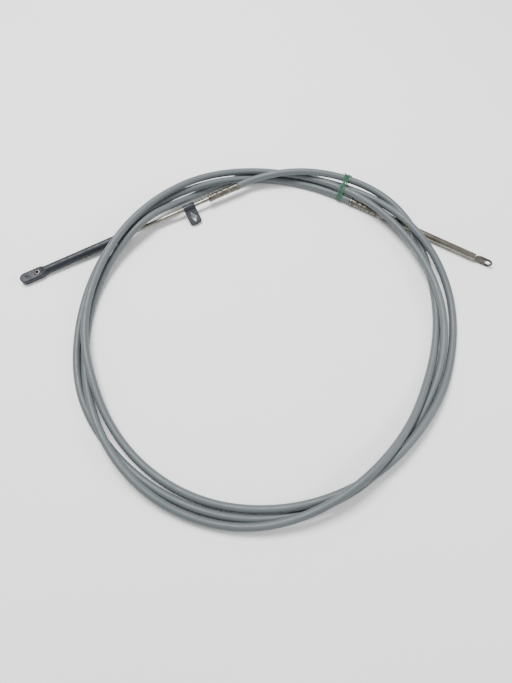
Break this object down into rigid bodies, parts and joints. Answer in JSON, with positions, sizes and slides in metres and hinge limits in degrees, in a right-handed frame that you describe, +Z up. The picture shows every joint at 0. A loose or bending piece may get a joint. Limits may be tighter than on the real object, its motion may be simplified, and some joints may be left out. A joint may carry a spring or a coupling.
{
  "type": "throttle and shift cable",
  "caption": "Push-pull marine control cable tied in a flat coil, with a swivelling rod and eye at one end and a sliding end guide with an anchor clip at the other.",
  "frame": {"origin": "middle of the whole object's box, on the surface that the coil lies on", "axes": "+Z up, +X from the engine end's side to the control end's side, +Y away from the picture's viewer"},
  "size_m": [0.5276, 0.4192, 0.0296],
  "materials": {
    "conduit": "satin extruded plastic jacket, mid grey",
    "twine": "twisted green twine",
    "crimped_steel": "crimped stainless steel, dulled",
    "steel": "drawn stainless steel tube, bright along its length",
    "dark_steel": "pressed stainless steel, darker where it is flattened",
    "black_plastic": "moulded black plastic, slightly blue"
  },
  "bodies": {
    "coil": {"conduit": "conduit", "tie": "twine", "engine_hub": "crimped_steel", "engine_tube": "steel", "control_hub": "crimped_steel"},
    "engine_slider": {"end_guide": "black_plastic", "guide_bush": "dark_steel", "engine_core": "steel"},
    "anchor": {"anchor_clip": "black_plastic"},
    "control_tube": {"swivel_socket": "crimped_steel", "guide_tube": "steel"},
    "control_slider": {"control_rod": "dark_steel"}
  },
  "joints": [
    {"name": "control_swivel", "type": "hinge", "parent": "coil", "child": "control_tube", "pos_m": [0.14797, 0.14081, 0.005], "axis": [0, 0, 1], "range_deg": [-6, 6]},
    {"name": "control_slide", "type": "slide", "parent": "control_tube", "child": "control_slider", "axis": [0.8616, -0.5075, 0], "range_m": [0, 0.07]},
    {"name": "engine_slide", "type": "slide", "parent": "coil", "child": "engine_slider", "axis": [-0.8826, -0.4693, -0.0288], "range_m": [-0.07, 0]},
    {"name": "anchor_turn", "type": "hinge", "parent": "coil", "child": "anchor", "pos_m": [-0.08098, 0.1492, 0.01014], "axis": [-0.8826, -0.4693, -0.0288], "range_deg": [0, 100]}
  ],
  "couplings": [
    {"joint": "engine_slide", "follows": "control_slide", "ratio": -1}
  ]
}
